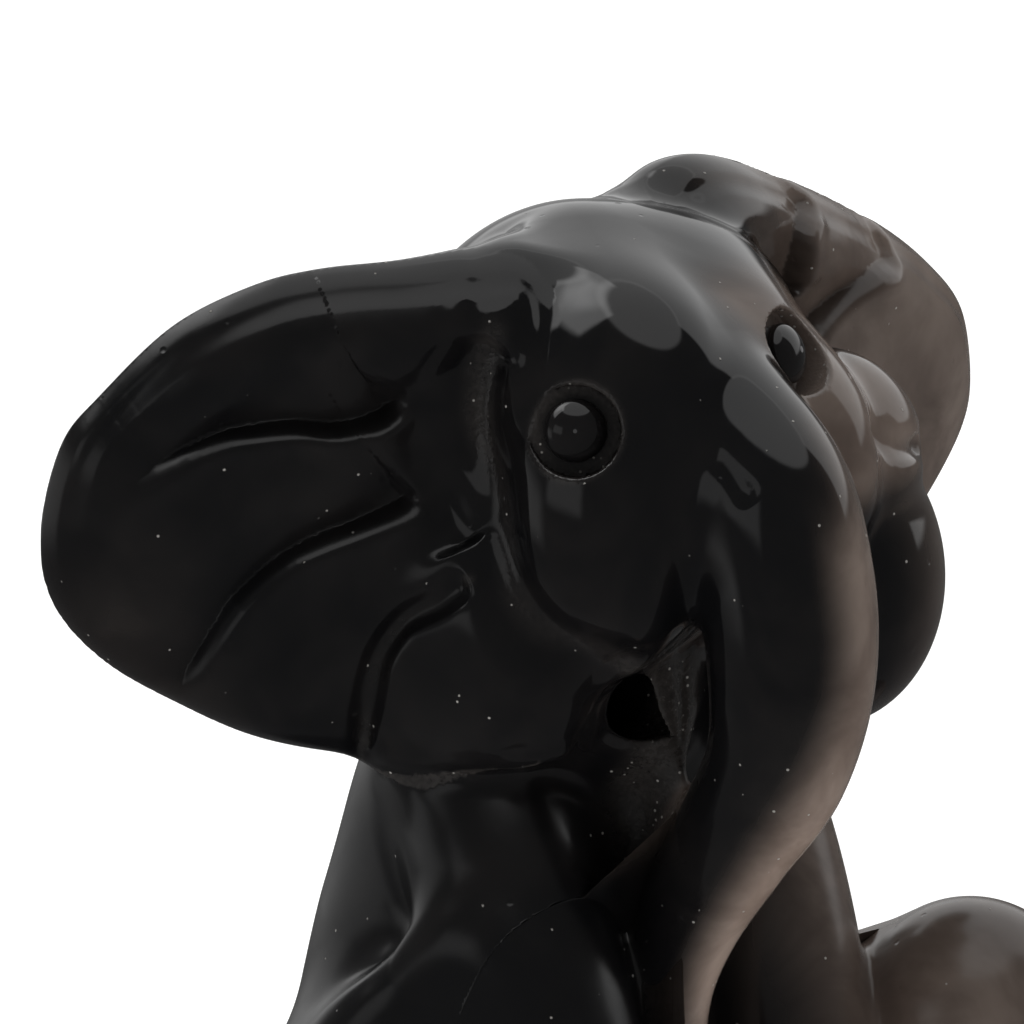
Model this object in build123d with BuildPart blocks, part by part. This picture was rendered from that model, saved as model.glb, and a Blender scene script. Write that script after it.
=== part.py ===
from build123d import *
import os

# Small carved stone elephant, sitting upright, in millimetres.
# It faces -Y, its left side is +X, +Z is up, and the origin is the middle of its base.
# The figure is one stone in life. It is divided here at the places where a carver
# changes from one form to the next, and neighbouring pieces meet face to face.

# Driving dimensions
NECK_Z = 24.0                  # level where the head sits on the body

DOME_CENTRE = (0, -0.6, 33.0)
DOME_RADII = (6.9, 8.4, 8.4)
BROW_CENTRE = (0, -6.2, 34.6)
BROW_RADII = (3.6, 5.4, 5.2)
JOWL_CENTRE = (6.4, -2.4, 29.6)
JOWL_RADII = (4.7, 5.2, 6.4)

EYE_CENTRE = (5.0, -5.7, 36.6)
EYE_AXIS = (0.60, -0.75, 0.28)
EYE_SOCKET_R = 1.5
EYE_SOCKET_DEPTH = 1.0
EYE_BEAD_R = 1.04
EYE_BEAD_PROUD = 0.55          # height of the bead's dome above its short cylinder

MOUTH_CENTRE = (-0.4, -4.2, 25.6)
MOUTH_R = 1.5
MOUTH_DEPTH = 4.2

# Each ear's root and how far it leans back from straight sideways: no hand-cut pair matches
EAR_ROOTS = {"left": (5.1, 0.4, 33.2), "right": (5.6, 0.4, 33.4)}
EAR_SWEEPS_DEG = {"left": 15, "right": 22}
EAR_THICKNESS = 3.0
EAR_EDGE_R = 1.1

LEG_FOOT_R = 3.1
KNEE_CENTRE = (11.6, -3.6, 12.2)
KNEE_R = 5.0
ANKLE_R = 3.9
HIND_FOOT_R = 4.4

# (height, middle in Y, half width in X, half depth in Y) of the body, from the base up
BODY_SECTIONS = [
    (0.0, 4.6, 9.4, 8.2),
    (5.0, 4.9, 10.6, 8.7),
    (11.0, 5.3, 10.0, 7.9),
    (17.0, 5.1, 8.8, 6.8),
    (NECK_Z, 3.6, 6.6, 6.0),
]

# (Y, Z, radius) down the middle line of the trunk, from inside the brow to the tip
TRUNK_SECTIONS = [
    (-7.6, 35.0, 3.3),
    (-10.7, 31.6, 3.15),
    (-11.0, 27.6, 2.7),
    (-8.8, 24.0, 2.3),
    (-6.0, 20.2, 1.85),
    (-4.1, 16.6, 1.5),
    (-3.9, 12.8, 1.4),
    (-4.6, 9.4, 1.4),
    (-6.4, 7.2, 1.4),
]

# (X, Y, Z, radius) along a hind leg: the thigh from hip to knee, the shin from knee to sole
THIGH_SECTIONS = [
    (7.6, 6.8, 6.4, 5.2),
    (9.8, 1.6, 9.2, 5.6),
    (*KNEE_CENTRE, KNEE_R),
]
SHIN_SECTIONS = [
    (*KNEE_CENTRE, KNEE_R - 0.2),
    (11.4, -7.2, 6.6, ANKLE_R),
    (11.2, -9.0, 0.0, HIND_FOOT_R),
]

# (X, Y, Z, radius) down a foreleg, from the shoulder to the ankle
FORELEG_SECTIONS = [
    (5.6, 0.6, 22.4, 3.0),
    (6.2, -2.2, 18.0, 3.5),
    (5.8, -4.8, 12.0, 2.9),
    (5.1, -7.0, 6.0, 2.6),
    (4.9, -8.0, 0.0, LEG_FOOT_R),
]

# (Y, Z, radius) down the tail, from the rump to the tuft
TAIL_SECTIONS = [
    (12.0, 11.4, 1.2),
    (13.3, 8.6, 1.0),
    (13.6, 5.2, 0.8),
    (13.0, 2.4, 1.1),
]

# Outline of an ear in its own plane: x runs out from the root, y runs up
EAR_OUTLINE = [
    (0.0, 8.5), (4.6, 8.9), (9.4, 7.2), (13.0, 3.6), (14.6, -0.6),
    (13.2, -4.6), (9.4, -7.2), (4.6, -8.8), (0.6, -8.4), (-0.4, 0.0),
]


def ellipsoid(centre, radii):
    """A unit ball stretched to three radii and moved to its centre."""
    ball = Sphere(1, mode=Mode.PRIVATE)
    return Pos(*centre) * scale(ball, by=radii, mode=Mode.PRIVATE)


def on_side(point, sign):
    """The point on the elephant's left (sign 1) or right (sign -1)."""
    return (sign * point[0], point[1], point[2])


def tube_planes(points):
    """A plane square to the path at each point of it."""
    planes = []
    for i, point in enumerate(points):
        before = Vector(*points[max(i - 1, 0)])
        after = Vector(*points[min(i + 1, len(points) - 1)])
        planes.append(Plane(origin=point, z_dir=after - before, x_dir=(1, 0, 0)))
    return planes


def eye_plane(sign):
    """The plane of an eye socket's mouth, looking out of the head."""
    return Plane(origin=on_side(EYE_CENTRE, sign), z_dir=on_side(EYE_AXIS, sign))


# Body: a stack of ovals, flat underneath, cut level at the neck
with BuildPart() as torso:
    for height, middle_y, half_x, half_y in BODY_SECTIONS:
        with BuildSketch(Plane.XY.offset(height)):
            with Locations((0, middle_y)):
                Ellipse(half_x, half_y)
    loft()
torso.part.label = "torso"

# Head: dome, brow and two full jowls, with a socket for each eye and the drilled mouth
with BuildPart() as head:
    add(ellipsoid(DOME_CENTRE, DOME_RADII))
    add(ellipsoid(BROW_CENTRE, BROW_RADII))
    for sign in (1, -1):
        add(ellipsoid(on_side(JOWL_CENTRE, sign), JOWL_RADII))
    split(bisect_by=Plane.XY.offset(NECK_Z), keep=Keep.TOP)
    for sign in (1, -1):
        with BuildSketch(eye_plane(sign)):
            Circle(EYE_SOCKET_R)
        extrude(amount=-EYE_SOCKET_DEPTH, mode=Mode.SUBTRACT)
        with BuildSketch(eye_plane(sign)):
            Circle(EYE_SOCKET_R)
        extrude(amount=3, mode=Mode.SUBTRACT)
    with BuildSketch(Plane(origin=MOUTH_CENTRE, z_dir=(-0.35, -0.9, 0.1))):
        Circle(MOUTH_R)
    extrude(amount=-MOUTH_DEPTH, mode=Mode.SUBTRACT)
head.part.label = "head"

pieces = [torso, head]

# Eyes: a domed bead standing on the floor of each socket
for side, sign in (("left", 1), ("right", -1)):
    with BuildPart() as eye:
        floor = eye_plane(sign).offset(-EYE_SOCKET_DEPTH)
        with BuildSketch(floor):
            Circle(EYE_BEAD_R)
        extrude(amount=EYE_SOCKET_DEPTH)
        dome_edge = eye.edges().sort_by(Axis((0, 0, 0), tuple(floor.z_dir)))[-1]
        fillet(dome_edge, EYE_BEAD_PROUD)
    eye.part.label = "eye_" + side
    pieces.append(eye)

# Ears: a broad rounded leaf, swept back, that starts at the head's own surface
for side, sign in (("left", 1), ("right", -1)):
    sweep_dir = Vector(sign, 0, 0).rotate(Axis.Z, sign * EAR_SWEEPS_DEG[side])
    ear_normal = sweep_dir.cross(Vector(0, 0, 1))
    ear_plane = Plane(origin=on_side(EAR_ROOTS[side], sign), x_dir=sweep_dir, z_dir=ear_normal)
    with BuildPart() as ear:
        with BuildSketch(ear_plane):
            with BuildLine():
                Spline(*EAR_OUTLINE, periodic=True)
            make_face()
        extrude(amount=EAR_THICKNESS / 2, both=True)
        fillet(ear.edges(), EAR_EDGE_R)
        add(head.part, mode=Mode.SUBTRACT)
        add(torso.part, mode=Mode.SUBTRACT)
    ear.part.label = "ear_" + side
    pieces.append(ear)

# Trunk: a tapering tube from the brow down in front of the chest
with BuildPart() as trunk:
    trunk_points = [(0, y, z) for y, z, radius in TRUNK_SECTIONS]
    for plane, section in zip(tube_planes(trunk_points), TRUNK_SECTIONS):
        with BuildSketch(plane):
            Circle(section[2])
    loft()
    add(head.part, mode=Mode.SUBTRACT)
    add(torso.part, mode=Mode.SUBTRACT)
trunk.part.label = "trunk"
pieces.append(trunk)

# Hind legs: a thigh raised to a round knee, then a shin down to a broad flat foot
for side, sign in (("left", 1), ("right", -1)):
    with BuildPart() as hind_leg:
        for sections in (THIGH_SECTIONS, SHIN_SECTIONS):
            leg_points = [on_side(section[:3], sign) for section in sections]
            for plane, section in zip(tube_planes(leg_points), sections):
                with BuildSketch(plane):
                    Circle(section[3])
            loft()
        with Locations(on_side(KNEE_CENTRE, sign)):
            Sphere(KNEE_R)
        split(bisect_by=Plane.XY, keep=Keep.TOP)
        add(torso.part, mode=Mode.SUBTRACT)
    hind_leg.part.label = "hind_leg_" + side
    pieces.append(hind_leg)

# Forelegs: tapering columns from the shoulders to small feet between the hind legs
for side, sign in (("left", 1), ("right", -1)):
    leg_points = [on_side((x, y, z), sign) for x, y, z, radius in FORELEG_SECTIONS]
    with BuildPart() as foreleg:
        for plane, section in zip(tube_planes(leg_points), FORELEG_SECTIONS):
            with BuildSketch(plane):
                Circle(section[3])
        loft()
        split(bisect_by=Plane.XY, keep=Keep.TOP)
        for neighbour in pieces:
            if neighbour.part.label in ("torso", "head", "trunk", "hind_leg_" + side):
                add(neighbour.part, mode=Mode.SUBTRACT)
    foreleg.part.label = "foreleg_" + side
    pieces.append(foreleg)

# Tail: a thin tube lying down the back of the rump, ending in a small tuft
with BuildPart() as tail:
    tail_points = [(0, y, z) for y, z, radius in TAIL_SECTIONS]
    for plane, section in zip(tube_planes(tail_points), TAIL_SECTIONS):
        with BuildSketch(plane):
            Circle(section[2])
    loft()
    add(torso.part, mode=Mode.SUBTRACT)
tail.part.label = "tail"
pieces.append(tail)

os.makedirs("parts", exist_ok=True)
for piece in pieces:
    export_step(piece.part, "parts/" + piece.part.label + ".step")
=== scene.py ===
"""Looks of the carved stone elephant: one sculpted form, divided into the pieces of the CAD model.

The stone is sculpted as a signed distance in millimetres, turned into one mesh, divided where the CAD
divides it, and scaled to metres. Every piece replaces its CAD node and rides on the one body.
"""

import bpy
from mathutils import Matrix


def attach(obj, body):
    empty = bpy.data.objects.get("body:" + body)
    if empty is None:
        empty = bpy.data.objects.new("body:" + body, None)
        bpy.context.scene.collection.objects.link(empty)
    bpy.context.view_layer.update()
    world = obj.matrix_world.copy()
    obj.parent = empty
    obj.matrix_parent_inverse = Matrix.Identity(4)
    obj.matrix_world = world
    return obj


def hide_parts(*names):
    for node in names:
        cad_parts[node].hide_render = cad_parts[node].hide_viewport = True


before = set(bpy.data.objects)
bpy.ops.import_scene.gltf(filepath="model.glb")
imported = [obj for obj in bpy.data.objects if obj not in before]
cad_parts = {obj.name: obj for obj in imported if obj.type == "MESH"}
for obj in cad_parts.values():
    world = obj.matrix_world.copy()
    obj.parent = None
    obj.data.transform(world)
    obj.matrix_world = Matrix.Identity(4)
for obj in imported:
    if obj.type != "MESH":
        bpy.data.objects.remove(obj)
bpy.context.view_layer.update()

from concurrent.futures import ThreadPoolExecutor
from math import cos, pi, radians, sin

import bpy
import numpy as np
from mathutils import Vector
from mathutils.geometry import tessellate_polygon

MM = 0.001
PITCH = 0.125      # grid of the surface net, in mm

# ---------------------------------------------------------------------------
# Sculpting kit: forms are distances in millimetres, negative inside the stone
# ---------------------------------------------------------------------------
FAR = 40.0                       # what a form returns for points too far away to matter
REACH = 4.5                      # how near a form must be to matter; above the widest blend


class Points:
    """A batch of points in millimetres and the box that holds them."""

    def __init__(self, x, y, z):
        self.x, self.y, self.z = x, y, z
        self.low = (x.min(), y.min(), z.min())
        self.high = (x.max(), y.max(), z.max())

    def misses(self, low, high, reach=REACH):
        return any(self.low[i] > high[i] + reach or self.high[i] < low[i] - reach for i in range(3))


def blend(a, b, k):
    """Union of two forms with a fillet of about k."""
    if np.isscalar(b):
        return a
    if np.isscalar(a):
        return b
    h = np.maximum(k - np.abs(a - b), 0) / k
    return np.minimum(a, b) - h * h * (k * 0.25)


def everywhere(d, p):
    """A form's distances, spread over all the points when they are all too far away to matter."""
    return np.full(p.x.shape, FAR, np.float32) if np.isscalar(d) else d


def trim(a, b, k):
    """What form a and form b share, with a rounding of about k."""
    if np.isscalar(a) or np.isscalar(b):
        return FAR
    h = np.maximum(k - np.abs(a - b), 0) / k
    return np.maximum(a, b) + h * h * (k * 0.25)


def ball(p, centre, radii):
    """Ellipsoid."""
    reach = max(radii)
    if p.misses([c - reach for c in centre], [c + reach for c in centre]):
        return FAR
    x, y, z = p.x - centre[0], p.y - centre[1], p.z - centre[2]
    x, y, z = x / radii[0], y / radii[1], z / radii[2]
    k0 = np.sqrt(x * x + y * y + z * z)
    k1 = np.sqrt((x / radii[0]) ** 2 + (y / radii[1]) ** 2 + (z / radii[2]) ** 2)
    return k0 * (k0 - 1) / np.maximum(k1, 1e-5)


def smooth_rows(rows, steps):
    """Catmull-Rom points through rows of numbers, steps to each span."""
    rows = np.array(rows, dtype=float)
    rows = np.vstack([2 * rows[0] - rows[1], rows, 2 * rows[-1] - rows[-2]])
    out = []
    for a, b, c, d in zip(rows[:-3], rows[1:-2], rows[2:-1], rows[3:]):
        for t in np.arange(steps) / steps:
            out.append(0.5 * (2 * b + (c - a) * t + (2 * a - 5 * b + 4 * c - d) * t * t
                              + (3 * b - a - 3 * c + d) * t ** 3))
    out.append(rows[-2])
    return np.array(out)


class Spline:
    """A smooth curve through rows of numbers: its value and slopes at any place along it."""

    def __init__(self, rows):
        rows = np.array(rows, dtype=float)
        rows = np.vstack([2 * rows[0] - rows[1], rows, 2 * rows[-1] - rows[-2]])
        a, b, c, d = rows[:-3], rows[1:-2], rows[2:-1], rows[3:]
        self.terms = 0.5 * np.stack([2 * b, c - a, 2 * a - 5 * b + 4 * c - d, 3 * b - a - 3 * c + d], 1)
        self.terms = self.terms.astype(np.float32)
        self.spans = len(b)

    def at(self, u, columns=slice(None)):
        span = np.clip(u.astype(int), 0, self.spans - 1)
        t = (u - span)[..., None]
        k = self.terms[span][..., columns]
        return k[..., 0, :] + t * (k[..., 1, :] + t * (k[..., 2, :] + t * k[..., 3, :]))

    def rates(self, u, columns=slice(None)):
        span = np.clip(u.astype(int), 0, self.spans - 1)
        t = (u - span)[..., None]
        k = self.terms[span][..., columns]
        rate = k[..., 1, :] + t * (2 * k[..., 2, :] + 3 * t * k[..., 3, :])
        bend = 2 * k[..., 2, :] + 6 * t * k[..., 3, :]
        return rate, bend


def nearest(p, spline, steps, reach):
    """For each point, the place on a curve nearest to it; None when all of them are out of reach."""
    nodes = np.linspace(0, spline.spans, spline.spans * steps + 1)
    rows = spline.at(nodes)
    best, place = None, None
    for i, (a, b) in enumerate(zip(rows[:-1, :3], rows[1:, :3])):
        if p.misses(np.minimum(a, b) - reach, np.maximum(a, b) + reach):
            continue
        ab = b - a
        x, y, z = p.x - a[0], p.y - a[1], p.z - a[2]
        t = np.clip((x * ab[0] + y * ab[1] + z * ab[2]) / (ab @ ab), 0, 1)
        d = (x - t * ab[0]) ** 2 + (y - t * ab[1]) ** 2 + (z - t * ab[2]) ** 2
        u = nodes[i] + t * (nodes[i + 1] - nodes[i])
        if best is None:
            best, place = d, u
        else:
            near = d < best
            best, place = np.where(near, d, best), np.where(near, u, place)
    if best is None:
        return None
    xyz = np.stack([p.x, p.y, p.z], -1)
    for _ in range(2):
        away = spline.at(place, slice(0, 3)) - xyz
        rate, bend = spline.rates(place, slice(0, 3))
        speed = (rate * rate).sum(-1)
        turn = np.maximum(speed + (away * bend).sum(-1), 0.4 * speed)
        place = np.clip(place - (away * rate).sum(-1) / turn, 0, spline.spans)
    return place.astype(np.float32)


def limb(p, stations, steps=5):
    """Smooth tapering limb through stations of x, y, z, half width in x, half depth."""
    spline = Spline([s if len(s) == 5 else (*s, s[3]) for s in stations])
    place = nearest(p, spline, steps, max(max(s[3:]) for s in stations))
    if place is None:
        return FAR
    c = spline.at(place)
    w, h = c[..., 3], c[..., 4]
    x2 = ((p.x - c[..., 0]) / w) ** 2
    o = ((p.y - c[..., 1]) ** 2 + (p.z - c[..., 2]) ** 2) / (h * h)
    k0 = np.sqrt(x2 + o)
    return k0 * (k0 - 1) / np.maximum(np.sqrt(x2 / (w * w) + o / (h * h)), 1e-5)


def stroke(p, points, width, depth):
    """How deep a soft cut along a line through points is; a negative depth makes a ridge."""
    spline = Spline(points)
    place = nearest(p, spline, 3, 2.5 * width - REACH)
    if place is None:
        return 0.0
    away = np.stack([p.x, p.y, p.z], -1) - spline.at(place)
    taper = rise(place, 0, 0.5) * rise(spline.spans - place, 0, 0.5)
    return depth * taper * np.exp(-(away * away).sum(-1) / (width * width))


def line_distance(s, t, points, steps=4):
    """Distance in a plane to a smooth line, how far along it, and which side (1 is its left)."""
    rows = smooth_rows(points, steps)
    count = len(rows) - 1
    best = np.full(s.shape, 1e6, np.float32)
    along = np.zeros_like(best)
    side = np.ones_like(best)
    for i, (a, b) in enumerate(zip(rows[:-1], rows[1:])):
        u, v = b - a
        ds, dt = s - a[0], t - a[1]
        f = np.clip((ds * u + dt * v) / (u * u + v * v), 0, 1)
        turn = u * dt - v * ds
        ds, dt = ds - f * u, dt - f * v
        d = ds * ds + dt * dt
        near = d < best
        best = np.where(near, d, best)
        along = np.where(near, (i + f) / count, along)
        side = np.where(near, np.sign(turn), side)
    return np.sqrt(best), along, side


def rise(x, low, high):
    """0 below low, 1 above high, smooth between."""
    x = np.clip((x - low) / (high - low), 0, 1)
    return x * x * (3 - 2 * x)


def bump(x):
    """1 at 0, falling smoothly to 0 at 1."""
    x = np.clip(np.abs(x), 0, 1)
    return (1 - x * x) ** 2


# ---------------------------------------------------------------------------
# Ears
# ---------------------------------------------------------------------------
# The sides are -1, the elephant's right, and 1, its left. In an ear's own plane, out runs from its root
# to its tip, up is +Z and front faces forward.
EAR_MIDDLE = (5.0, -0.6)
EARS = {
    -1: {"root": (-5.6, 0.4, 33.2), "lean": 23.0, "outline": [
        (0.0, 8.4), (2.1, 8.25), (4.6, 8.2), (6.9, 7.8), (9.7, 6.5), (12.2, 4.1), (13.4, 2.5),
        (14.1, -0.4), (13.8, -2.9), (12.2, -5.0), (9.6, -6.7), (7.0, -8.0), (3.9, -8.8), (0.5, -9.2),
        (-2.5, -8.5),
        (-3.5, 0.0), (-2.5, 7.5)]},
    1: {"root": (5.0, 2.4, 33.0), "lean": 6.0, "outline": [
        (-2.7, 8.5), (-0.6, 9.5), (1.8, 9.2), (5.6, 7.5), (9.6, 5.3), (12.4, 3.3), (14.2, 1.4), (14.8, -1.3),
        (14.2, -3.2), (12.2, -5.2), (9.7, -6.9), (7.0, -8.1), (3.9, -8.9), (0.5, -9.2), (-2.5, -8.5),
        (-3.5, 0.0), (-2.8, 7.5)]},
}
VEINS = {
    -1: [[(2.2, 4.2), (3.0, 3.4), (4.5, 3.1), (5.9, 3.3),
          (7.3, 3.25), (8.5, 3.05), (10.1, 2.3), (12.4, 0.6)],
         [(1.9, 0.8), (2.6, 0.3), (3.8, -0.2), (5.3, -0.7),
          (6.5, -1.3), (8.1, -2.7), (9.4, -4.9), (9.9, -6.2)]],
    1: [[(4.3, 4.0), (3.95, 5.1), (4.1, 6.4), (5.4, 7.4)],
        [(4.6, 2.6), (5.65, 3.4), (7.7, 4.3), (9.3, 4.4)]],
}


def outline_table(outline):
    """An outline as radius against angle about EAR_MIDDLE."""
    rows = smooth_rows(list(outline) + [outline[0]], 8)[:-1] - np.array(EAR_MIDDLE)
    angle = np.arctan2(rows[:, 1], rows[:, 0])
    order = np.argsort(angle)
    grid = np.linspace(-np.pi, np.pi, 721)
    radius = np.interp(grid, angle[order], np.hypot(rows[:, 0], rows[:, 1])[order], period=2 * np.pi)
    weights = np.array([1, 4, 6, 4, 1]) / 16
    for _ in range(6):
        radius = np.convolve(np.concatenate([radius[-3:-1], radius, radius[1:3]]), weights, "valid")
    return grid, radius, np.gradient(radius, grid)


for ear_data in EARS.values():
    ear_data["table"] = outline_table(ear_data["outline"])


def ear_place(p, side):
    """A point's out, up and front in an ear's own plane."""
    root, lean = EARS[side]["root"], np.radians(EARS[side]["lean"])
    x, y, z = side * (p.x - root[0]), p.y - root[1], p.z - root[2]
    return x * np.cos(lean) + y * np.sin(lean), z, x * np.sin(lean) - y * np.cos(lean)


def ear_edge(out, up, side):
    """Distance outside an ear's outline, in its plane."""
    grid, radius, slope = EARS[side]["table"]
    dx, dy = out - EAR_MIDDLE[0], up - EAR_MIDDLE[1]
    angle = np.arctan2(dy, dx)
    r = np.interp(angle, grid, radius)
    s = np.interp(angle, grid, slope)
    return (np.hypot(dx, dy) - r) / np.sqrt(1 + (s / r) ** 2)


def ear(p, side):
    """One ear: a leaf, thicker inside its edge, with a rolled rim and carved veins."""
    root = EARS[side]["root"]
    low = (min(root[0] - 4 * side, root[0] + 15 * side), root[1] - 4, root[2] - 10)
    high = (max(root[0] - 4 * side, root[0] + 15 * side), root[1] + 9, root[2] + 10)
    if p.misses(low, high, 1.5):
        return FAR
    out, up, front = ear_place(p, side)
    edge = ear_edge(out, up, side)
    inside = np.clip(-edge, 0, 7)
    middle = 0.25 - 0.010 * (out - 4) ** 2
    front = front - middle
    half = 0.55 + 1.15 * (1 - np.exp(-inside / 1.5)) + 0.35 * rise(4.0 - out, 0, 5)
    cut = ear_cut(out, up, edge, side) * rise(front, -0.4, 0.4)
    return trim(np.abs(front) - half + cut, edge, 1.1)


def ear_cut(out, up, edge, side):
    """How deep the face of an ear is carved."""
    cut = -0.55 * np.exp(-((edge + 2.0) / 1.2) ** 2) * rise(up, 0.5, 4.0) * rise(12.5 - out, 0, 4)
    cut = cut + 0.10 * bump((edge + 0.8) / 0.4) * rise(up, -3.0, 1.0)
    for vein, slope_width, depth in zip(VEINS[side], (2.3, 1.7), (1.0, 0.95)):
        away, along, above = line_distance(out, up, vein)
        width = np.where(above > 0, slope_width, 0.26)
        ends = rise(along, 0, 0.12) * rise(1 - along, 0.0, 0.16)
        cut = cut + depth * (1 - 0.45 * along) * ends * np.exp(-(away / width) ** 1.3)
        lip = np.where(above > 0, 0.0, np.exp(-((away - 0.55) / 0.35) ** 2))
        cut = cut - 0.14 * ends * lip
    return cut


# ---------------------------------------------------------------------------
# Body
# ---------------------------------------------------------------------------
# The two sides aren't alike: -1 is the elephant's right, 1 its left.
FORELEGS = {
    -1: [(4.6, 1.0, 24.0, 3.1), (5.5, -2.2, 19.6, 3.2), (5.4, -5.2, 14.0, 2.8), (4.8, -6.9, 8.0, 2.4),
         (4.3, -7.5, 2.4, 2.6), (4.2, -7.6, -1.0, 2.8)],
    1: [(4.2, 1.4, 24.0, 3.0), (5.0, -1.2, 19.4, 3.1), (4.8, -4.2, 13.6, 2.8), (4.3, -6.3, 7.6, 2.4),
        (4.1, -7.2, 2.4, 2.7), (4.1, -7.4, -1.0, 2.9)],
}
THIGHS = {
    -1: [(7.2, 4.8, 6.6, 5.0), (8.6, 0.2, 12.0, 4.2), (9.5, -3.7, 16.0, 3.3)],
    1: [(7.2, 4.6, 5.2, 4.9), (9.4, -1.4, 9.8, 4.3), (10.6, -6.6, 13.2, 3.8)],
}
SHINS = {
    -1: [(9.5, -4.6, 15.8, 3.1), (9.8, -7.8, 9.4, 3.1), (10.0, -9.0, 3.0, 3.5), (10.1, -9.2, -1.5, 3.7)],
    1: [(10.6, -7.2, 13.3, 3.6), (10.9, -8.8, 8.0, 3.2), (10.9, -9.4, 2.6, 3.6), (10.9, -9.5, -1.5, 3.8)],
}


# The grinder's facet on the right thigh, as if it were on the left: a corner and two facing directions.
FACET_CORNER = (12.1, -2.1, 16.7)
FACET_FACE = (0.74, -0.65, 0.15)
FACET_BEVEL = (0.81, -0.27, 0.51)


def torso(p):
    d = ball(p, (0, 4.0, 6.5), (9.6, 8.0, 9.0))
    d = blend(d, ball(p, (0, 3.6, 14.5), (8.5, 6.4, 9.5)), 4.0)
    d = blend(d, ball(p, (-0.2, 2.2, 22.0), (6.8, 5.6, 5.4)), 3.0)
    return blend(d, ball(p, (-0.6, -0.6, 19.0), (3.2, 3.2, 7.0)), 2.0)


def plane(p, point, normal):
    """Distance in front of a plane."""
    x, y, z = normal
    ahead = (p.x - point[0]) * x + (p.y - point[1]) * y + (p.z - point[2]) * z
    return ahead / (x * x + y * y + z * z) ** 0.5


def hind_leg(p, side):
    leg = blend(limb(p, THIGHS[side]), limb(p, SHINS[side]), 1.2)
    if side == 1 or np.isscalar(leg):
        return leg
    leg = trim(leg, plane(p, FACET_CORNER, FACET_FACE) + 1.3, 1.6)
    return trim(leg, plane(p, FACET_CORNER, FACET_BEVEL), 0.15)


def head(p):
    d = ball(p, (0, 0.7, 33.6), (6.7, 7.8, 8.4))
    d = blend(d, ball(p, (-1.9, -3.2, 36.6), (3.5, 5.1, 4.7)), 1.6)
    d = blend(d, ball(p, (2.2, -2.8, 36.0), (3.4, 4.0, 4.6)), 1.4)
    d = blend(d, ball(p, (3.0, 0.4, 37.0), (4.2, 4.4, 4.2)), 1.4)
    d = blend(d, ball(p, (0.0, -7.0, 33.9), (2.7, 5.2, 3.9)), 1.2)
    d = blend(d, ball(p, (-3.6, -3.6, 32.8), (3.5, 4.8, 5.4)), 1.4)
    d = blend(d, ball(p, (4.4, -3.6, 33.4), (3.0, 4.2, 4.6)), 1.2)
    near_jowl = trim(ball(p, (-5.2, -0.6, 28.6), (3.7, 4.9, 5.4)), 24.7 - p.z, 0.8)
    d = blend(d, near_jowl, 0.8)
    d = blend(d, ball(p, (7.0, -3.0, 33.1), (3.2, 3.6, 3.5)), 0.6)
    d = blend(d, ball(p, (7.4, -2.2, 28.6), (4.0, 4.8, 5.4)), 0.6)
    return blend(d, ball(p, (-1.4, -1.8, 26.6), (3.3, 3.6, 3.6)), 1.0)


def trunk(p):
    return limb(p, [(0.0, -4.6, 36.8, 2.2, 2.8), (0.0, -7.4, 34.9, 2.6, 3.1), (0.0, -9.5, 32.2, 2.8, 3.1),
                    (-0.1, -10.2, 28.8, 2.7, 2.9), (-0.2, -9.6, 25.4, 2.3, 2.5),
                    (-0.5, -7.7, 22.2, 2.0, 2.1), (-0.8, -5.8, 19.0, 1.75, 1.8),
                    (-1.0, -4.8, 16.0, 1.5, 1.5), (-1.0, -4.8, 12.6, 1.4, 1.4),
                    (-0.8, -6.2, 9.8, 1.4, 1.4), (-0.4, -7.9, 7.6, 1.45, 1.45)])


def on_right(p):
    """Points mirrored, so that a form made for the left is measured on the right."""
    return Points(-p.x, p.y, p.z)


def base_field(p):
    """Distance from the stone before its fine lines are cut."""
    d = torso(p)
    right = on_right(p)
    for side, q in ((-1, right), (1, p)):
        d = blend(d, limb(q, FORELEGS[side]), 1.4)
        d = blend(d, hind_leg(q, side), 2.4 if side == -1 else 0.8)
    web = ball(p, (-0.9, -3.6, 19.0), (0.7, 2.6, 7.5))
    d = blend(d, web, 0.8)
    d = blend(d, head(p), 1.2)
    for side, fillet in ((-1, 2.2), (1, 1.0)):
        d = blend(d, ear(p, side), fillet)
    d = blend(d, trunk(p), 0.9)
    if np.isscalar(d):
        return everywhere(d, p)
    return trim(d, -p.z, 0.6)


# Drilled sockets: the middle of each mouth and the axis that points out of it, right eye first.
EYES = (((-5.5, -5.6, 36.8), (-0.60, -0.75, 0.28)), ((3.3, -6.0, 38.0), (0.50, -0.80, 0.33)))
EYE_R = 1.5
EYE_DEPTH = 0.7
EYE_BEAD_R = 1.02
MOUTH = (-1.9, -4.4, 26.9)
MOUTH_AXIS = (0.25, -0.95, 0.15)
MOUTH_R = 1.65
MOUTH_DEPTH = 3.5
MOUTH_CLEAR = 0.8                # how far the mouth's cut goes past both of its ends

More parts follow.
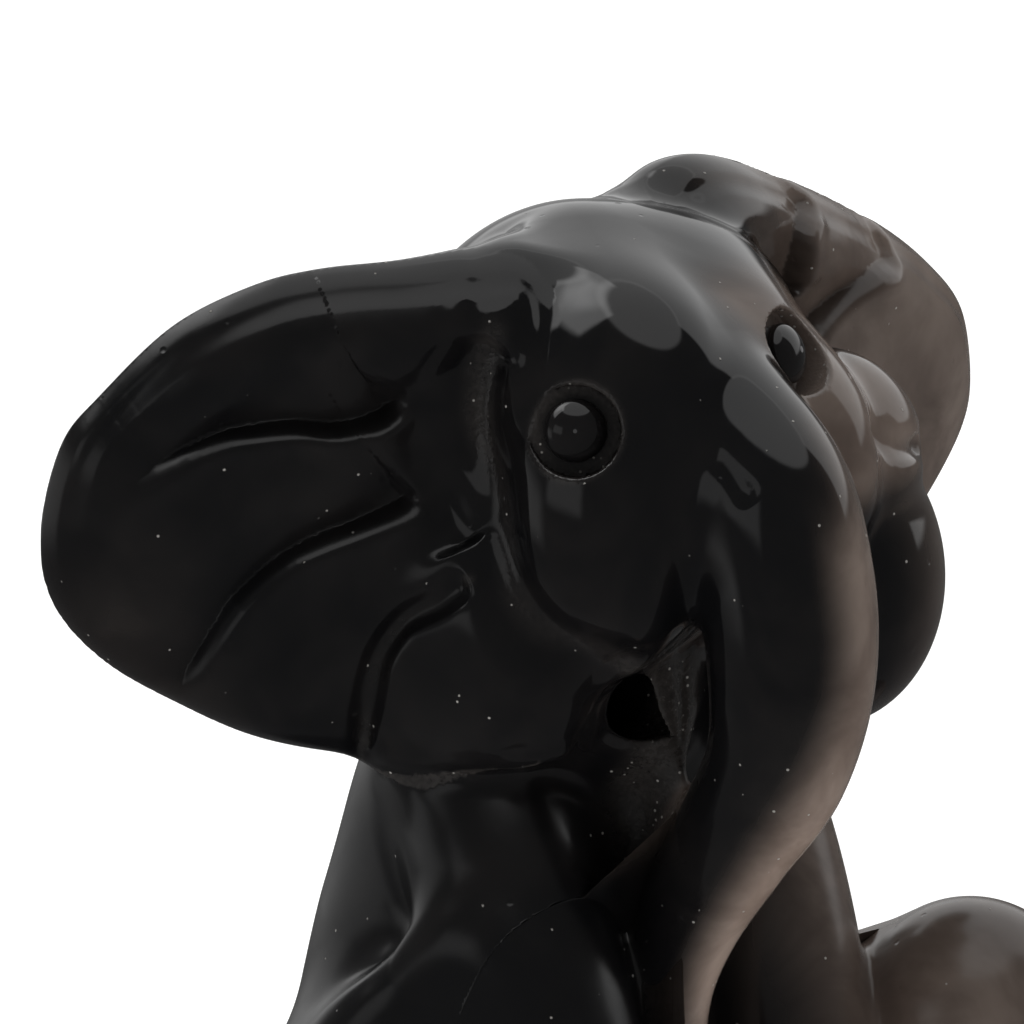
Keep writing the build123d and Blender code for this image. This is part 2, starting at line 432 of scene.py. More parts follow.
# Lines cut in the stone, or raised where the depth is below zero: points, width, depth.
STROKES = [
    # from the temple round the cheek to the corner of the mouth
    ([(-6.0, -1.9, 39.4), (-6.4, -1.6, 37.9), (-6.6, -1.9, 36.1), (-7.0, -3.1, 34.4), (-7.1, -3.7, 32.6),
      (-7.2, -4.2, 31.3), (-6.6, -5.2, 30.0), (-5.2, -6.4, 29.2), (-3.6, -6.4, 28.4)], 1.0, 0.5),
    # between ear and head
    ([(-8.3, 0.1, 38.3), (-7.9, -0.2, 36.2), (-7.6, -0.5, 34.6), (-7.3, -1.4, 33.0),
      (-7.6, -2.4, 32.2)], 1.0, 0.4),
    # channel between the jowl and the lobe of the ear
    ([(-9.0, 1.4, 24.4), (-9.6, 0.3, 26.6), (-9.4, -0.1, 28.4), (-8.9, -0.8, 29.7), (-8.4, -2.0, 30.6),
      (-7.8, -2.9, 31.5)], 0.42, 0.6),
    # rim under the near jowl
    ([(-9.0, 1.0, 25.0), (-7.9, -0.6, 24.9), (-7.0, -2.5, 25.0), (-6.0, -4.2, 25.3),
      (-4.6, -4.9, 25.6)], 0.35, -0.22),
    ([(-8.9, 0.6, 25.9), (-7.9, -1.0, 25.7), (-7.0, -2.9, 25.8), (-6.0, -4.4, 26.1)], 0.45, 0.18),
    # folds of the far cheek
    ([(5.6, -6.3, 35.2), (7.2, -6.5, 34.2), (8.6, -5.6, 33.6), (9.6, -4.4, 33.2)], 0.45, 0.5),
    # fold where the trunk leaves the face
    ([(-2.7, -8.8, 36.5), (-2.5, -9.8, 35.8), (-2.2, -10.7, 34.9)], 0.35, 0.30),
]


def drill(p, centre, axis, radius, depth):
    """For a round hole, each point's place along its axis and away from it; None when all miss it."""
    axis = np.array(axis, float) / np.linalg.norm(axis)
    reach = radius + depth
    if p.misses(np.array(centre) - reach, np.array(centre) + reach, 0.5):
        return None
    x, y, z = (getattr(p, n) - c for n, c in zip("xyz", centre))
    along = x * axis[0] + y * axis[1] + z * axis[2]
    away = np.sqrt(np.maximum(x * x + y * y + z * z - along * along, 0))
    return along, away


def field(p):
    """Distance from the whole stone."""
    d = base_field(p)
    for points, width, depth in STROKES:
        d = d + stroke(p, points, width, depth)
    for centre, axis in EYES:
        place = drill(p, centre, axis, EYE_R, EYE_DEPTH)
        if place:
            along, away = place
            d = -blend(-d, np.maximum(away - EYE_R, -along - EYE_DEPTH), 0.12)
    place = drill(p, MOUTH, MOUTH_AXIS, MOUTH_R, MOUTH_DEPTH)
    if place:
        along, away = place
        ends = np.abs(along + MOUTH_DEPTH / 2) - MOUTH_DEPTH / 2 - MOUTH_CLEAR
        d = -blend(-d, np.maximum(away - MOUTH_R, ends), 0.25)
    return d


# ---------------------------------------------------------------------------
# From form to mesh
# ---------------------------------------------------------------------------
def batches(x, y, z, size=24000):
    """Splits points into batches."""
    return [Points(x[i:i + size], y[i:i + size], z[i:i + size]) for i in range(0, len(x), size)]


def measure(form, xyz):
    """The form's distance at rows of points, in float32."""
    x, y, z = (np.ascontiguousarray(c, dtype=np.float32) for c in xyz.T)
    with ThreadPoolExecutor(4) as pool:
        parts = list(pool.map(form, batches(x, y, z)))
    return np.concatenate(parts)


def gather(cells, size):
    """An order that keeps cells of one neighbourhood together."""
    big = cells // size
    key = (big[:, 0] * 4096 + big[:, 1]) * 4096 + big[:, 2]
    return np.argsort(key, kind="stable")


def surface_net(form, low, high, pitch, block=6, margin=1.9):
    """Vertices and quads of the form's surface on a grid of one pitch."""
    low = np.array(low, float)
    count = np.ceil((np.array(high) - low) / pitch / block).astype(int) * block + 1
    blocks = (count - 1) // block
    ids = np.stack(np.meshgrid(*[np.arange(b) for b in blocks], indexing="ij"), -1).reshape(-1, 3)
    order = gather(ids, 5)
    centres = low + pitch * block * (ids + 0.5)
    coarse = np.empty(len(ids), np.float32)
    coarse[order] = measure(form, centres[order])
    solid = coarse.reshape(blocks) < 0
    value = np.where(solid, np.float32(-1), np.float32(1))
    for axis in range(3):
        value = np.repeat(value, block, axis)
    grid = np.ones(count, np.float32)
    grid[:-1, :-1, :-1] = value
    near = np.abs(coarse) < pitch * block * 0.87 * margin
    active = ids[near]
    active = active[gather(active, 4)]
    corner = np.stack(np.meshgrid(*[np.arange(block + 1)] * 3, indexing="ij"), -1).reshape(-1, 3)
    for start in range(0, len(active), 4000):
        at = (active[start:start + 4000, None, :] * block + corner[None]).reshape(-1, 3)
        grid[at[:, 0], at[:, 1], at[:, 2]] = measure(form, low + pitch * at)
    inside = grid < 0
    quads, spots = [], []
    for a in range(3):
        b, c = (a + 1) % 3, (a + 2) % 3
        first = [slice(None)] * 3
        second = [slice(None)] * 3
        first[a], second[a] = slice(0, -1), slice(1, None)
        edge = np.argwhere(inside[tuple(first)] != inside[tuple(second)])
        step_a, step_b, step_c = np.eye(3, dtype=int)[[a, b, c]]
        ends = edge + step_a
        f0 = grid[edge[:, 0], edge[:, 1], edge[:, 2]]
        f1 = grid[ends[:, 0], ends[:, 1], ends[:, 2]]
        spot = edge.astype(float)
        spot[:, a] += f0 / (f0 - f1)
        ring = np.stack([edge - step_b - step_c, edge - step_c, edge, edge - step_b], 1)
        ring[f0 > 0] = ring[f0 > 0][:, ::-1]
        quads.append(ring)
        spots.append(np.repeat(spot[:, None, :], 4, 1))
    cells = np.concatenate(quads).reshape(-1, 3)
    spots = np.concatenate(spots).reshape(-1, 3)
    key = (cells[:, 0] * count[1] + cells[:, 1]) * count[2] + cells[:, 2]
    _, first_at, index = np.unique(key, return_index=True, return_inverse=True)
    total = np.bincount(index)
    verts = np.stack([np.bincount(index, spots[:, i]) / total for i in range(3)], 1)
    order = gather(cells[first_at], 24)
    back = np.empty(len(order), int)
    back[order] = np.arange(len(order))
    return low + pitch * verts[order], back[index].reshape(-1, 4)


def slope(form, xyz, reach=0.02):
    """The form's gradient, from four samples round each point."""
    corners = np.array([[1, -1, -1], [-1, -1, 1], [-1, 1, -1], [1, 1, 1]], float)
    return sum(k * measure(form, xyz + reach * k)[:, None] for k in corners) / (4 * reach)


def settle(form, xyz, pitch, rounds=2):
    """Moves points along the gradient onto the surface."""
    for _ in range(rounds):
        g = slope(form, xyz)
        move = -measure(form, xyz)[:, None] * g / np.maximum((g * g).sum(1), 0.05)[:, None]
        length = np.maximum(np.sqrt((move * move).sum(1)), 1e-9)[:, None]
        xyz = xyz + move * np.minimum(1, 0.6 * pitch / length)
    return xyz


# ---------------------------------------------------------------------------
# Dividing the stone where the CAD model divides it
# ---------------------------------------------------------------------------
NECK_Z = 23.0


def neck_side(x, y, z):
    return z - NECK_Z


def trunk_side(x, y, z):
    """Above zero in front of the plane that the trunk leaves the head and chest on."""
    front = -3.3 - np.maximum((z - 11.5) * 0.25, (11.5 - z) * 0.5) - y
    return np.minimum(front, np.where(z > 22.5, 6.0, 2.25) - np.abs(x + 0.35 * (z < 22.5)))


def ear_side(side):
    def value(x, y, z):
        out, _, front = ear_place(Points(x, y, z), side)
        return np.minimum(np.minimum(out - front, out) - 1.4, z - NECK_Z - 0.3)
    return value


def hind_side(side):
    def value(x, y, z):
        return (side * x - 6.5 - z * 3.0 / 19.0) * 0.988
    return value


def foreleg_side(side):
    def value(x, y, z):
        front = -3.0 - np.maximum((13.0 - z) * 0.15, (z - 13.0) * 0.31) - y
        return np.minimum(front, side * x - 1.0)
    return value


SNAP = 0.08                      # the part of an edge that counts as its end when it is cut


def divide(verts, tris, label, value, name, of):
    """Cuts triangles where a value crosses zero, and gives those above zero of one piece a new name."""
    value = np.where(np.abs(value) < 2e-4, 2e-4, value)
    above = value[tris] > 0
    mixed = (above.sum(1) == 1) | (above.sum(1) == 2)
    rows, up = tris[mixed], above[mixed]
    lone = np.where(up.sum(1) == 1, up.argmax(1), up.argmin(1))
    a, b, c = (rows[np.arange(len(rows)), (lone + i) % 3] for i in range(3))
    pairs = np.sort(np.concatenate([np.stack([a, b], 1), np.stack([a, c], 1)]), axis=1)
    pairs, index = np.unique(pairs, axis=0, return_inverse=True)
    index = index.reshape(-1) + len(verts)
    share = value[pairs[:, 0]] / (value[pairs[:, 0]] - value[pairs[:, 1]])
    new = verts[pairs[:, 0]] + share[:, None] * (verts[pairs[:, 1]] - verts[pairs[:, 0]])
    # a crossing close to a corner is that corner, so that no sliver is left
    target = np.arange(len(verts) + len(new))
    first, last = share < SNAP, share > 1 - SNAP
    target[len(verts):][first] = pairs[first, 0]
    target[len(verts):][last] = pairs[last, 1]
    value = np.concatenate([value, np.zeros(len(new))])
    value[target[len(verts):]] = 0.0
    ab, ac = target[index[:len(a)]], target[index[len(a):]]
    at_corner = (ab == a)[:, None]
    parts = [np.stack([a, ab, ac], 1),
             np.where(at_corner, np.stack([ab, b, ac], 1), np.stack([ab, b, c], 1)),
             np.where(at_corner, np.stack([b, c, ac], 1), np.stack([ab, c, ac], 1))]
    tris = np.concatenate([tris[~mixed]] + parts)
    label = np.concatenate([label[~mixed]] + [label[mixed]] * 3)
    whole = (tris != np.roll(tris, 1, axis=1)).all(1)
    tris, label = tris[whole], label[whole]
    label = np.where((label == of) & (value[tris].sum(1) > 0), name, label)
    return np.concatenate([verts, new]), tris, label


def seams(verts, tris, label):
    """The flat faces between two pieces: {(piece, piece): triangles, outward for the first}."""
    edges = np.concatenate([tris[:, [0, 1]], tris[:, [1, 2]], tris[:, [2, 0]]])
    owner = np.tile(label, 3)
    low, high = edges.min(1), edges.max(1)
    order = np.lexsort((high, low))
    same = (low[order][:-1] == low[order][1:]) & (high[order][:-1] == high[order][1:])
    first, second = order[:-1][same], order[1:][same]
    split = owner[first] != owner[second]
    found = {}
    for i, j in zip(first[split], second[split]):
        if owner[i] > owner[j]:
            i, j = j, i
        found.setdefault((owner[i], owner[j]), []).append(edges[i][::-1])
    return {pair: cap for pair, rows in found.items() if (cap := fill(verts, rows))}


def fill(verts, rows):
    """Triangles over the loops that directed edges make; an open chain is closed straight."""
    after = {}
    for a, b in rows:
        after.setdefault(int(a), []).append(int(b))
    ends = {int(b) for _, b in rows}
    starts = [a for a in after if a not in ends] + list(after)
    tris = []
    for start in starts:
        if not after.get(start):
            continue
        loop = [start]
        while after.get(loop[-1]):
            loop.append(after[loop[-1]].pop())
            if loop[-1] == start:
                loop.pop()
                break
        if len(loop) < 3:
            continue
        points = verts[loop]
        turn = np.cross(points, np.roll(points, -1, 0)).sum(0)
        for tri in tessellate_polygon([[Vector(p) for p in points]]):
            i, j, k = (loop[n] for n in tri)
            if np.dot(np.cross(verts[j] - verts[i], verts[k] - verts[i]), turn) < 0:
                i, j = j, i
            tris.append((i, j, k))
    return tris


# ---------------------------------------------------------------------------
# Where the stone is painted brown as backlight, and where it is ground but not polished
# ---------------------------------------------------------------------------
def near_form(form, verts, reach):
    """1 on a form's surface, fading to 0 at a distance."""
    return 1 - rise(measure(lambda p: everywhere(form(p), p), verts), 0.0, reach)


def painted_backlight_amount(verts, thin):
    """Painted backlight: brown light painted where the stone is thin, and most on the elephant's left, the
    side towards the bright wall, in place of light shining through the stone.
    """
    x, y, z = verts.T
    # painted backlight: each term below paints brown light into the colour
    on_trunk = near_form(trunk, verts, 0.8)
    dark_side = -2.2 + 1.0 * rise(z, 23, 31)
    trunk_backlight = rise(x, dark_side, dark_side + 1.6 + 0.5 * rise(z, 20, 30))
    trunk_backlight = trunk_backlight * (0.55 + 0.45 * rise(-z, -30, -20))
    trunk_backlight = trunk_backlight * rise(37.5 - z, 0, 5)
    left_ear = rise(x, 8, 10) * rise(z, 24, 26) * (0.18 + 0.35 * thin)
    left_jowl = 0.22 * rise(x, 6.5, 11.5) + 0.35 * rise(x, 3.5, 7) * thin
    body = 0.42 * rise(x, 2.0, 7.0) * rise(24 - z, 0, 3)
    right_ear = 0.05 * thin * rise(-x, 13, 17) * rise(34 - z, 0, 6)
    brow = 0.45 * rise(x, -0.4, 1.6) * rise(-y, 2, 5) * rise(z, 32, 34) * rise(41.3 - z, 0, 1.5)
    other = np.maximum.reduce([left_ear, left_jowl, body, right_ear, brow])
    return np.clip(other * (1 - on_trunk) + trunk_backlight * on_trunk, 0, 1)


def ground_amount(verts):
    """1 in the frosted places that the polishing wheel can't reach."""
    x, y, z = verts.T
    on_trunk = near_form(trunk, verts, 0.25)
    web = np.exp(-(((x + 1.2) / 1.3) ** 4)) * rise(-y, 3.0, 4.0) * rise(-y, -7.5, -6.5)
    web = web * rise(z, 6, 9) * rise(28.8 - z, 0, 1.5)
    mark = 0.45 * web * (1 - 0.9 * on_trunk)
    for centre, _ in EYES:
        away = np.linalg.norm(verts - np.array(centre), axis=1)
        mark = np.maximum(mark, 0.35 * bump((away - EYE_R) / 0.35))
    mirror = np.array([-1, 1, 1])
    facet = np.abs((verts - mirror * FACET_CORNER) @ (mirror * FACET_BEVEL))
    mark = np.maximum(mark, 0.35 * (facet < 0.12) * (x < -6) * (z > 10))
    for points, width, depth in STROKES:
        if depth > 0.4:
            line = near_form(lambda p, s=points: stroke_distance(p, s), verts, width * 0.8)
            mark = np.maximum(mark, 0.3 * line)
    return np.clip(mark, 0, 1)


def satin_amount(verts):
    """1 on the ears and the body, where the polish is softer than on the face and trunk."""
    x, y, z = verts.T
    ears = np.maximum(rise(-x, 6.6, 8.6), rise(x, 8.5, 10.5))
    body = rise(25.5 - z, 0, 2.5)
    return np.maximum(ears, body) * (1 - near_form(trunk, verts, 0.5))


def stroke_distance(p, points):
    """Distance from a carved line."""
    spline = Spline(points)
    place = nearest(p, spline, 3, 1.0)
    if place is None:
        return FAR
    away = np.stack([p.x, p.y, p.z], -1) - spline.at(place)
    return np.sqrt((away * away).sum(-1))


# ---------------------------------------------------------------------------
# Materials
# ---------------------------------------------------------------------------
class Nodes:
    """Short names for building a node tree."""

    def __init__(self, tree):
        self.tree = tree

    def add(self, kind, values=(), **settings):
        node = self.tree.nodes.new(kind)
        for name, value in settings.items():
            setattr(node, name, value)
        for name, value in dict(values).items():
            self.put(node.inputs[name], value)
        return node

    def put(self, socket, value):
        if isinstance(value, bpy.types.NodeSocket):
            self.tree.links.new(value, socket)
        else:
            socket.default_value = value

    def math(self, operation, a, b=0.0, c=0.0, clamp=False):
        node = self.add("ShaderNodeMath", operation=operation, use_clamp=clamp)
        for socket, value in zip(node.inputs, (a, b, c)):
            self.put(socket, value)
        return node.outputs[0]

    def mix(self, share, a, b):
        node = self.add("ShaderNodeMix", data_type="RGBA", clamp_factor=True)
        self.put(node.inputs["Factor"], share)
        self.put(node.inputs[6], a)
        self.put(node.inputs[7], b)
        return node.outputs[2]

    def range(self, value, low, high, to_low=0.0, to_high=1.0):
        node = self.add("ShaderNodeMapRange", interpolation_type="SMOOTHSTEP")
        for name, item in zip(("Value", "From Min", "From Max", "To Min", "To Max"),
                              (value, low, high, to_low, to_high)):
            self.put(node.inputs[name], item)
        return node.outputs[0]

    def noise(self, place, scale, detail=3.0, roughness=0.5, distortion=0.0):
        node = self.add("ShaderNodeTexNoise", {"Vector": place, "Scale": scale, "Detail": detail,
                                               "Roughness": roughness, "Distortion": distortion})
        return node.outputs[0]

    def cells(self, place, scale):
        return self.add("ShaderNodeTexVoronoi", {"Vector": place, "Scale": scale})


def shade(*rgb):
    return (*rgb, 1.0)


def stone_material(name):
    """Polished dark stone: painted brown backlight where thin, ground matte where the wheel stopped, specks
    and pits.
    """
    material = bpy.data.materials.new(name)
    material.use_nodes = True
    nodes = Nodes(material.node_tree)
    surface = material.node_tree.nodes["Principled BSDF"]
    place = nodes.add("ShaderNodeTexCoord").outputs["Object"]
    # painted backlight amount, then the ground and satin amounts
    painted_backlight = nodes.add("ShaderNodeAttribute", attribute_name="painted_backlight").outputs["Fac"]
    ground = nodes.add("ShaderNodeAttribute", attribute_name="ground").outputs["Fac"]
    satin = nodes.add("ShaderNodeAttribute", attribute_name="satin").outputs["Fac"]
    cloud = nodes.noise(place, 260.0, 4.0, 0.55, 0.4)
    grain = nodes.noise(place, 5200.0, 2.0, 0.6)
    # colour
    black = nodes.mix(nodes.range(cloud, 0.35, 0.75), shade(0.0040, 0.0040, 0.0046),
                      shade(0.010, 0.009, 0.009))
    # painted backlight: the milky brown that stands for light shining through thin stone
    backlight_tint = nodes.mix(nodes.range(cloud, 0.3, 0.7), shade(0.27, 0.200, 0.165), shade(0.37, 0.290, 0.245))
    share = nodes.math("MULTIPLY", painted_backlight, nodes.range(cloud, 0.2, 0.8, 0.75, 1.15), clamp=True)
    colour = nodes.mix(share, black, backlight_tint)
    matte = nodes.math("MULTIPLY", ground, nodes.range(grain, 0.25, 0.75, 0.55, 1.25), clamp=True)
    colour = nodes.mix(nodes.math("MULTIPLY", matte, 0.55), colour, shade(0.13, 0.115, 0.105))
    # white grains of polishing compound, thick in ground places and rare on the polish
    speck = nodes.cells(place, 4800.0)
    patchy = nodes.noise(place, 900.0, 3.0, 0.6)
    rarity = nodes.math("ADD", nodes.math("MULTIPLY", ground, 0.30),
                        nodes.range(patchy, 0.55, 0.9, 0.0, 0.10))
    chance = nodes.add("ShaderNodeSeparateColor", {"Color": speck.outputs["Color"]}).outputs[0]
    chosen = nodes.math("LESS_THAN", chance, nodes.math("ADD", rarity, 0.004))
    dot = nodes.math("MULTIPLY", chosen, nodes.range(speck.outputs["Distance"], 0.30, 0.16))
    colour = nodes.mix(nodes.math("MULTIPLY", dot, 0.8), colour, shade(0.46, 0.44, 0.41))
    nodes.put(surface.inputs["Base Color"], colour)
    # gloss
    smear = nodes.noise(place, 480.0, 3.0, 0.6, 1.2)
    polish = nodes.range(smear, 0.35, 0.75, 0.045, 0.10)
    rough = nodes.math("ADD", polish, nodes.math("MULTIPLY", matte, 0.42))
    rough = nodes.math("ADD", rough, nodes.math("MULTIPLY", satin, 0.17))
    rough = nodes.math("ADD", rough, nodes.math("MULTIPLY", dot, 0.5), clamp=True)
    nodes.put(surface.inputs["Roughness"], rough)
    surface.inputs["IOR"].default_value = 1.5
    # wheel marks, pits and grain
    waves = nodes.noise(place, 620.0, 2.0, 0.5)
    pit = nodes.cells(place, 1500.0)
    pit_chance = nodes.add("ShaderNodeSeparateColor", {"Color": pit.outputs["Color"]}).outputs[1]
    pit_cut = nodes.math("MULTIPLY", nodes.math("LESS_THAN", pit_chance, 0.05),
                         nodes.range(pit.outputs["Distance"], 0.22, 0.05))
    height = nodes.math("MULTIPLY", waves, 0.007)
    height = nodes.math("SUBTRACT", height, nodes.math("MULTIPLY", pit_cut, 0.020))
    height = nodes.math("ADD", height, nodes.math("MULTIPLY", nodes.math("MULTIPLY", grain, matte), 0.05))
    height = nodes.math("ADD", height, nodes.math("MULTIPLY", dot, 0.02))
    bump_node = nodes.add("ShaderNodeBump", {"Height": height, "Strength": 1.0, "Distance": MM})
    nodes.put(surface.inputs["Normal"], bump_node.outputs[0])
    return material


# ---------------------------------------------------------------------------
# Pieces
# ---------------------------------------------------------------------------
def thinness(points, normals):
    """1 where light can come through the stone, 0 where it is thick."""
    total = 0.0
    for depth in (1.2, 2.4, 3.8, 5.5):
        inner = measure(field, points - depth * normals)
        total = total + np.clip(1 + inner / (0.42 * depth), 0, 1)
    return total / 4


def make_piece(name, verts, tris, normals, cap, attributes, material):
    """One closed piece from its share of the sculpture and its flat seams, in metres."""
    used = np.unique(np.concatenate([tris.ravel(), cap.ravel()]))
    back = np.full(len(verts), -1)
    back[used] = np.arange(len(used))
    faces = np.concatenate([back[tris], back[cap]]) if len(cap) else back[tris]
    mesh = bpy.data.meshes.new(name)
    mesh.vertices.add(len(used))
    mesh.vertices.foreach_set("co", (verts[used] * MM).astype(np.float32).ravel())
    mesh.loops.add(faces.size)
    mesh.loops.foreach_set("vertex_index", faces.ravel().astype(np.int32))
    mesh.polygons.add(len(faces))
    mesh.polygons.foreach_set("loop_start", np.arange(0, faces.size, 3, dtype=np.int32))
    mesh.update(calc_edges=True)
    mesh.polygons.foreach_set("use_smooth", np.ones(len(faces), bool))
    split = normals[tris]
    if len(cap):
        a, b, c = (verts[cap[:, i]] for i in range(3))
        flat = np.cross(b - a, c - a)
        flat = flat / np.maximum(np.linalg.norm(flat, axis=1), 1e-12)[:, None]
        split = np.concatenate([split, np.repeat(flat[:, None], 3, 1)])
    mesh.normals_split_custom_set(split.reshape(-1, 3).astype(np.float32))
    for key, value in attributes.items():
        layer = mesh.attributes.new(key, "FLOAT", "POINT")
        layer.data.foreach_set("value", value[used].astype(np.float32))
    mesh.materials.append(material)
    piece = bpy.data.objects.new(name, mesh)
    bpy.context.scene.collection.objects.link(piece)
    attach(piece, "root")
    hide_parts(name)
    return piece


def sculpt_stone(material):
    """The whole stone as one mesh, divided into its pieces."""
    verts, quads = surface_net(field, (-21, -16.5, -1), (21, 16.5, 45.5), PITCH)
    verts = settle(field, verts, PITCH)
    tris = np.concatenate([quads[:, [0, 1, 2]], quads[:, [0, 2, 3]]])
    label = np.full(len(tris), "torso", dtype="<U16")
    cuts = [("trunk", "torso", trunk_side), ("head", "torso", neck_side)]
    for side, word in ((1, "left"), (-1, "right")):
        cuts.append((f"ear_{word}", "head", ear_side(side)))
        cuts.append((f"hind_leg_{word}", "torso", hind_side(side)))
        cuts.append((f"foreleg_{word}", "torso", foreleg_side(side)))
    for name, parent, value in cuts:
        verts, tris, label = divide(verts, tris, label, value(*verts.T), name, parent)
    normals = slope(field, verts)
    normals = normals / np.maximum(np.linalg.norm(normals, axis=1), 1e-9)[:, None]
    # the first attribute stored is the painted backlight
    attributes = {"painted_backlight": painted_backlight_amount(verts, thinness(verts, normals)), "ground": ground_amount(verts),
                  "satin": satin_amount(verts)}
    flats = seams(verts, tris, label)
    for name in sorted(set(label)):
        caps = [np.array(cap) for pair, cap in flats.items() if pair[0] == name]
        caps += [np.array(cap)[:, ::-1] for pair, cap in flats.items() if pair[1] == name]
        cap = np.concatenate(caps) if caps else np.zeros((0, 3), int)
        make_piece(name, verts, tris[label == name], normals, cap, attributes, material)
        print(name, (label == name).sum(), "triangles, cap", len(cap))


def lathe(name, profile, centre, axis, steps=96):
    """A turned piece: profile holds radius and height pairs, from one end of the axis to the other."""
    turn = Vector(axis).to_track_quat("Z", "Y")
    radius, height = np.array(profile).T
    angle = np.linspace(0, 2 * pi, steps, endpoint=False)
    rings = np.stack([radius[:, None] * np.cos(angle), radius[:, None] * np.sin(angle),
                      np.repeat(height[:, None], steps, 1)], -1)
    verts = [tuple((Vector(centre) + turn @ Vector(v)) * MM) for v in rings.reshape(-1, 3)]
    faces = []
    for i in range(len(radius) - 1):
        for j in range(steps):
            k = (j + 1) % steps
            faces.append((i * steps + j, i * steps + k, (i + 1) * steps + k, (i + 1) * steps + j))
    faces.append(tuple(reversed(range(steps))))
    faces.append(tuple((len(radius) - 1) * steps + j for j in range(steps)))
    mesh = bpy.data.meshes.new(name)
    mesh.from_pydata(verts, [], faces)
    mesh.shade_smooth()
    return mesh


def eye_bead(name, centre, axis, material):
    """A low dome with a slightly flattened top, in the middle of an eye's socket."""
    radius, floor = EYE_BEAD_R, -EYE_DEPTH - 0.15
    profile = [(radius, floor), (radius, -0.30)]
    for step in np.linspace(0.06, 1.0, 14):
        lean = step * pi / 2
        profile.append((radius * cos(lean) * 0.98 + 0.02, -0.30 + 0.55 * sin(lean) ** 1.3))
    profile.append((0.02, 0.25))
    piece = bpy.data.objects.new(name, lathe(name, profile, centre, axis))
    bpy.context.scene.collection.objects.link(piece)
    piece.data.materials.append(material)
    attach(piece, "root")
    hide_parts(name)


TAIL = [(0.0, 11.2, 11.6, 1.3), (0.0, 12.5, 9.0, 1.05), (0.1, 13.0, 6.0, 0.85), (0.2, 12.8, 3.6, 0.95),
        (0.3, 12.3, 1.6, 1.15)]


def tail_form(p):
    return everywhere(limb(p, TAIL), p)


def make_tail(material):
    """The tail lies against the rump, sunk a little into it."""
    verts, quads = surface_net(tail_form, (-3, 9, -1), (3, 15.5, 14.5), PITCH * 1.2)
    verts = settle(tail_form, verts, PITCH)
    tris = np.concatenate([quads[:, [0, 1, 2]], quads[:, [0, 2, 3]]])
    normals = slope(tail_form, verts)
    normals = normals / np.maximum(np.linalg.norm(normals, axis=1), 1e-9)[:, None]
    nothing = np.zeros(len(verts))
    attributes = {"painted_backlight": nothing, "ground": nothing, "satin": nothing + 1}
    make_piece("tail", verts, tris, normals, np.zeros((0, 3), int), attributes, material)


# ---------------------------------------------------------------------------
# Camera, light and floor
# ---------------------------------------------------------------------------
AIM = Vector((0.0, 5.1, 30.2)) * MM
CAMERA_AZIMUTH = radians(-37.0)
CAMERA_ELEVATION = radians(18.0)
CAMERA_DISTANCE = 300.0 * MM
FRAME_WIDTH = 34.71 * MM                    # what the picture takes in, across the aim point


def make_camera():
    data = bpy.data.cameras.new("camera")
    data.sensor_width = 36.0
    data.lens = 36.0 * CAMERA_DISTANCE / FRAME_WIDTH
    data.clip_start = 0.01
    data.clip_end = 10.0
    camera = bpy.data.objects.new("camera", data)
    flat = cos(CAMERA_ELEVATION)
    back = Vector((sin(CAMERA_AZIMUTH) * flat, -cos(CAMERA_AZIMUTH) * flat, sin(CAMERA_ELEVATION)))
    camera.location = AIM + back * CAMERA_DISTANCE
    camera.rotation_euler = back.to_track_quat("Z", "Y").to_euler()
    bpy.context.scene.collection.objects.link(camera)
    bpy.context.scene.camera = camera


# Bright panels of the studio: from and to azimuth, from and to elevation, edge softness, power.
# Azimuths are in degrees from the front (-Y) towards the elephant's left (+X).
PANELS = (
    (0.0, 360.0, 57.0, 91.0, 2.0, 0.8),
    (170.0, 240.0, 34.0, 62.0, 2.5, 1.6),
    (182.0, 222.0, 42.0, 58.0, 8.0, 1.3),
    (62.0, 170.0, 4.0, 58.0, 3.0, 0.95),
    (255.0, 285.0, 4.0, 22.0, 3.0, 0.35),
    (140.0, 250.0, -14.0, 6.0, 6.0, 0.35),
)
ROOM_LEVEL = 0.09


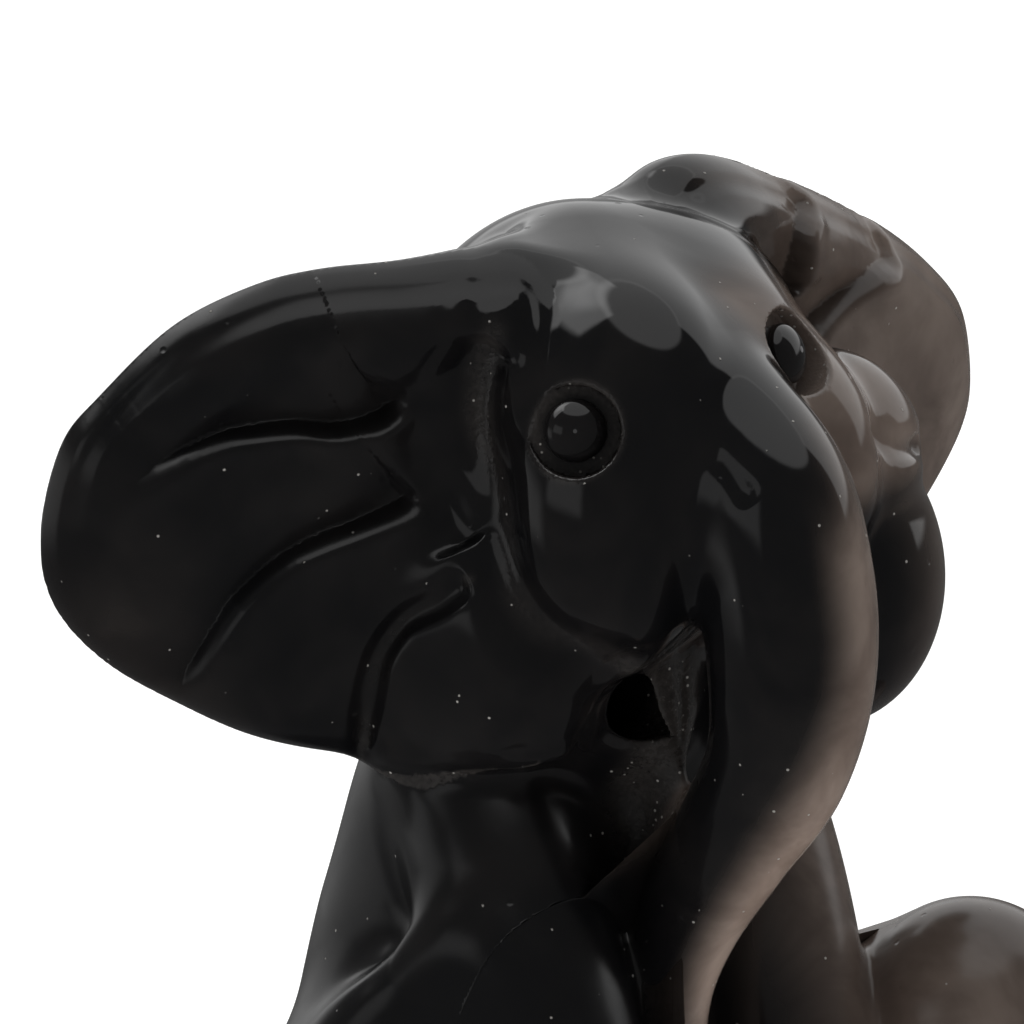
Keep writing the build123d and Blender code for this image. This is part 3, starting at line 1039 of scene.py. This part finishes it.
def make_world():
    """White panels above, behind and to the right in a dark room, for the polished stone to mirror."""
    world = bpy.data.worlds.new("studio")
    bpy.context.scene.world = world
    world.use_nodes = True
    world.node_tree.nodes.clear()
    nodes = Nodes(world.node_tree)
    way = nodes.add("ShaderNodeTexCoord").outputs["Generated"]
    x, y, z = nodes.add("ShaderNodeSeparateXYZ", {"Vector": way}).outputs
    turn = nodes.math("ARCTAN2", x, nodes.math("MULTIPLY", y, -1.0))
    azimuth = nodes.math("WRAP", nodes.math("DEGREES", turn), 360.0, 0.0)
    elevation = nodes.math("DEGREES", nodes.math("ARCSINE", z))
    level = ROOM_LEVEL
    for left, right, low, high, soft, power in PANELS:
        panel = nodes.math("MULTIPLY", nodes.range(elevation, low - soft, low + soft),
                           nodes.range(elevation, high + soft, high - soft))
        if right - left < 360:
            panel = nodes.math("MULTIPLY", panel, nodes.range(azimuth, left - soft, left + soft))
            panel = nodes.math("MULTIPLY", panel, nodes.range(azimuth, right + soft, right - soft))
        level = nodes.math("ADD", nodes.math("MULTIPLY", panel, power), level)
    path = nodes.add("ShaderNodeLightPath")
    seen = nodes.mix(path.outputs["Is Camera Ray"], level, shade(1.0, 1.0, 1.0))
    light = nodes.add("ShaderNodeBackground", {"Color": seen, "Strength": 1.0})
    out = nodes.add("ShaderNodeOutputWorld")
    nodes.put(out.inputs["Surface"], light.outputs[0])


def make_floor():
    mesh = bpy.data.meshes.new("floor")
    far = 3.0
    mesh.from_pydata([(-far, -far, 0), (far, -far, 0), (far, far, 0), (-far, far, 0)], [], [(0, 1, 2, 3)])
    material = bpy.data.materials.new("floor")
    material.use_nodes = True
    surface = material.node_tree.nodes["Principled BSDF"]
    surface.inputs["Base Color"].default_value = shade(0.88, 0.88, 0.87)
    surface.inputs["Roughness"].default_value = 0.9
    surface.inputs["Emission Color"].default_value = shade(1.0, 1.0, 1.0)
    surface.inputs["Emission Strength"].default_value = 0.55
    mesh.materials.append(material)
    floor = bpy.data.objects.new("floor", mesh)
    bpy.context.scene.collection.objects.link(floor)
    floor.visible_glossy = False


make_camera()
make_world()
make_floor()
stone = stone_material("polished_stone")
sculpt_stone(stone)
make_tail(stone)
bead_stone = stone_material("eye_stone")
for (centre, axis), word in zip(EYES, ("right", "left")):
    eye_bead(f"eye_{word}", centre, axis, bead_stone)
bpy.context.scene.view_settings.view_transform = "Standard"
bpy.context.scene.view_settings.look = "None"
